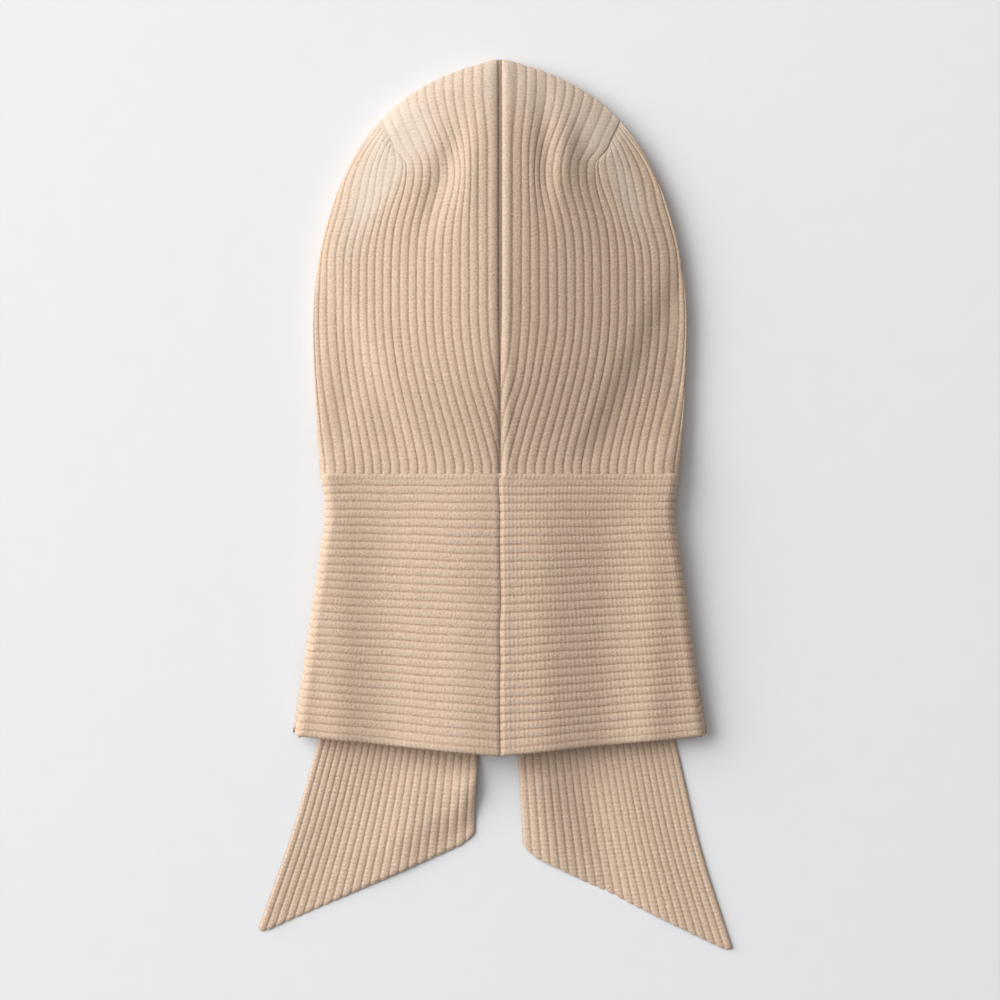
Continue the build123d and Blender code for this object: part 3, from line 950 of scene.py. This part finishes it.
def knit_material(name, colour, groove_shade=0.7, hole_shade=0.5):
    """Fuzzy ribbed wool, with painted shade in its grooves and stitch holes, painted highlights where the
    mesh's attribute gives them, and stray fibres.
    """
    material, tree, shader = new_material(name)
    uv = tree.nodes.new("ShaderNodeUVMap")
    uv.uv_map = "knit"
    split = tree.nodes.new("ShaderNodeSeparateXYZ")
    tree.links.new(uv.outputs["UV"], split.inputs["Vector"])
    rib, stitch = split.outputs["X"], split.outputs["Y"]
    place = tree.nodes.new("ShaderNodeTexCoord").outputs["Object"]
    fibre = noise_node(tree, 1250.0, 2.0, place)
    melange = noise_node(tree, 520.0, 2.0, place)
    drift = noise_node(tree, 12.0, 2.0, place)

    part = math_node(tree, "SUBTRACT", math_node(tree, "FRACT", rib), 0.5)
    across = math_node(tree, "MULTIPLY", math_node(tree, "ABSOLUTE", part), 2.0)
    uneven = math_node(tree, "ADD", stitch, math_node(tree, "MULTIPLY", melange, 0.5))
    wave = math_node(tree, "COSINE", math_node(tree, "MULTIPLY", uneven, 2 * math.pi))
    scallop = math_node(tree, "ADD", across, math_node(tree, "MULTIPLY", wave, -0.08))
    groove = math_node(tree, "POWER", scallop, 3.4)
    row = math_node(tree, "MULTIPLY", math_node(tree, "SUBTRACT", 1.0, wave), 0.5)
    centre = math_node(tree, "POWER", math_node(tree, "SUBTRACT", 1.0, across), 2.5)
    hole = math_node(tree, "MULTIPLY", math_node(tree, "POWER", row, 2.5), centre)

    light = shaded(colour, 1.06)
    tone = colour_ramp(tree, melange, [(0.28, shaded(colour, 0.91)), (0.5, colour), (0.74, light)])
    speckle = math_node(tree, "MULTIPLY", math_node(tree, "SUBTRACT", fibre, 0.52), 2.6)
    # Painted highlights: the pale patches and the crown's edge turn towards a paler colour in streaks, and
    # the painted shade in their grooves is weakened.
    pale = tree.nodes.new("ShaderNodeAttribute")
    pale.attribute_name = "pale"
    streaks = math_node(tree, "ADD", math_node(tree, "MULTIPLY", melange, 0.9), 0.5)
    highlight_share = math_node(tree, "MULTIPLY", pale.outputs["Fac"], streaks, clamp=True)
    tone = mix_colours(tree, highlight_share, tone, (*HIGHLIGHT_COLOUR, 1))
    # Painted shade in the grooves and stitch holes, mixed with a slow random drift of tone and lighter fibre
    # specks.
    shade_and_tone = math_node(tree, "MULTIPLY", groove, groove_shade)
    shade_and_tone = math_node(tree, "ADD", shade_and_tone, math_node(tree, "MULTIPLY", hole, hole_shade), clamp=True)
    drifting = math_node(tree, "MULTIPLY", math_node(tree, "SUBTRACT", drift, 0.5), 0.25)
    shade_and_tone = math_node(tree, "ADD", shade_and_tone, drifting)
    shade_and_tone = math_node(tree, "SUBTRACT", shade_and_tone, speckle, clamp=True)
    shade_kept_in_highlight = math_node(tree, "SUBTRACT", 1.0, math_node(tree, "MULTIPLY", highlight_share, 0.6))
    shade_and_tone = math_node(tree, "MULTIPLY", shade_and_tone, shade_kept_in_highlight)
    shade_colour = [channel * kept for channel, kept in zip(colour, GROOVE_SHADE)]
    tone = mix_colours(tree, shade_and_tone, tone, (*shade_colour, 1))
    tree.links.new(tone, shader.inputs["Base Color"])

    height = math_node(tree, "MULTIPLY", fibre, 0.6)
    height = math_node(tree, "ADD", height, math_node(tree, "MULTIPLY", melange, 0.5))
    height = math_node(tree, "SUBTRACT", height, math_node(tree, "MULTIPLY", hole, 0.25))
    bump = tree.nodes.new("ShaderNodeBump")
    bump.inputs["Strength"].default_value = 0.7
    bump.inputs["Distance"].default_value = 0.0006
    tree.links.new(height, bump.inputs["Height"])
    tree.links.new(bump.outputs["Normal"], shader.inputs["Normal"])
    rough = math_node(tree, "ADD", math_node(tree, "MULTIPLY", fibre, 0.16), 0.82)
    tree.links.new(rough, shader.inputs["Roughness"])
    shader.inputs["Specular IOR Level"].default_value = 0.15
    shader.inputs["Sheen Weight"].default_value = 0.15
    shader.inputs["Sheen Roughness"].default_value = 0.5
    return material


def label_material(name, colour):
    """Plain woven tape."""
    material, tree, shader = new_material(name)
    place = tree.nodes.new("ShaderNodeTexCoord").outputs["Object"]
    weave = tree.nodes.new("ShaderNodeTexWave")
    weave.inputs["Scale"].default_value = 900.0
    weave.inputs["Distortion"].default_value = 1.5
    tree.links.new(place, weave.inputs["Vector"])
    tone = colour_ramp(tree, weave.outputs["Fac"], [(0.2, shaded(colour, 0.86)), (0.8, colour)])
    tree.links.new(tone, shader.inputs["Base Color"])
    bump = tree.nodes.new("ShaderNodeBump")
    bump.inputs["Strength"].default_value = 0.4
    bump.inputs["Distance"].default_value = 0.0002
    tree.links.new(weave.outputs["Fac"], bump.inputs["Height"])
    tree.links.new(bump.outputs["Normal"], shader.inputs["Normal"])
    shader.inputs["Roughness"].default_value = 0.7
    return material


def floor_material():
    """Matte pale board."""
    material, tree, shader = new_material("floor_board")
    place = tree.nodes.new("ShaderNodeTexCoord").outputs["Object"]
    speck = noise_node(tree, 60.0, 4.0, place)
    tone = colour_ramp(tree, speck, [(0.3, (0.775, 0.775, 0.785)), (0.7, (0.785, 0.785, 0.795))])
    tree.links.new(tone, shader.inputs["Base Color"])
    shader.inputs["Roughness"].default_value = 0.9
    shader.inputs["Specular IOR Level"].default_value = 0.1
    return material


# ---------------------------------------------------------------- stage


def make_floor():
    bpy.ops.mesh.primitive_plane_add(size=6.0, location=(0, 0, -0.0004))
    floor = bpy.context.object
    floor.name = "floor"
    floor.data.materials.append(floor_material())


def make_light(name, azimuth, elevation, distance, size, power, colour):
    """A soft square light that faces the object; its direction is in degrees round and up."""
    light = bpy.data.lights.new(name, "AREA")
    light.size = size
    light.energy = power
    light.color = colour
    lamp = bpy.data.objects.new(name, light)
    turn = math.radians(azimuth)
    tilt = math.radians(elevation)
    flat = distance * math.cos(tilt)
    lamp.location = (flat * math.cos(turn), flat * math.sin(turn), distance * math.sin(tilt))
    lamp.rotation_euler = (math.pi / 2 - tilt, 0, turn + math.pi / 2)
    lamp.visible_camera = False
    bpy.context.scene.collection.objects.link(lamp)


def make_lights():
    make_light("window", 155, 28, 7.0, 7.5, 955, (0.985, 1.0, 1.005))
    make_light("overhead", 120, 75, 3.0, 2.4, 13, (1.0, 1.0, 1.0))
    world = bpy.data.worlds.new("studio")
    world.use_nodes = True
    background = world.node_tree.nodes["Background"]
    background.inputs["Color"].default_value = (1.0, 0.975, 0.975, 1)
    background.inputs["Strength"].default_value = 0.265
    bpy.context.scene.world = world


def make_camera():
    """Straight above the middle of the object, as for a flat-lay picture."""
    field = 0.640            # metres across the picture at the object's mid height
    height = 2.4
    camera = bpy.data.cameras.new("camera")
    camera.sensor_width = 36.0
    camera.lens = 36.0 * (height - 0.02) / field
    camera.clip_end = 20
    eye = bpy.data.objects.new("camera", camera)
    eye.location = (0, 0.0019, height)
    bpy.context.scene.collection.objects.link(eye)
    bpy.context.scene.camera = eye
    bpy.context.scene.view_settings.view_transform = "Standard"


# ---------------------------------------------------------------- assembly

# The collar's and tie ends' wool are lighter copies of the hood's, standing in for light on them; the yarn of
# the seams and the face band's linked row is a much darker copy, painted shade for their sunken lines.
hood_knit = knit_material("hood_wool", CAMEL, groove_shade=0.8)
collar_knit = knit_material("collar_wool", shaded(CAMEL, 1.03), groove_shade=0.8, hole_shade=0.65)
tail_knit = knit_material("tail_wool", shaded(CAMEL, 1.07), groove_shade=0.55)
band_knit = knit_material("band_wool", shaded(CAMEL, 0.98))
shaded_seam_yarn = knit_material("seam_wool", shaded(CAMEL, 0.66), groove_shade=0.6)
label_tape = label_material("label_tape", LABEL_TAPE)

make_camera()
make_floor()
make_lights()

hood_panels = [make_hood_panel(side, hood_knit) for side in SIDES]
collar_panels = [make_collar_panel(side, collar_knit) for side in SIDES]
tails = {"left": make_tail("left", LEFT_TAIL, tail_knit), "right": make_tail("right", RIGHT_TAIL, tail_knit)}
tail_seams = {side: make_tail_seam(side, shaded_seam_yarn) for side in SIDES}
hood_seams = [make_hood_seam(shaded_seam_yarn), make_chin_seam(shaded_seam_yarn)]
collar_seams = make_collar_seams(shaded_seam_yarn)
neck_link = make_neck_link(collar_knit)
face_band = make_face_band(band_knit)
band_link = make_band_link(shaded_seam_yarn)
labels = [make_label("neck_label", 1.2, label_tape), make_label("care_label", 2.0, label_tape)]

# The hood's panels and seams and the tie ends keep their placement in their meshes; the face band, its link
# and the labels go with the hood, and the collar's panels, seams, neck link and tie-end seams go with the
# collar.
for piece in hood_panels + hood_seams:
    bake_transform(piece)
for piece in (face_band, band_link, *labels):
    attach(piece, "hood")
for piece in (*collar_panels, *collar_seams, neck_link, *tail_seams.values()):
    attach(piece, "collar")
for side, tail in tails.items():
    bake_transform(tail)
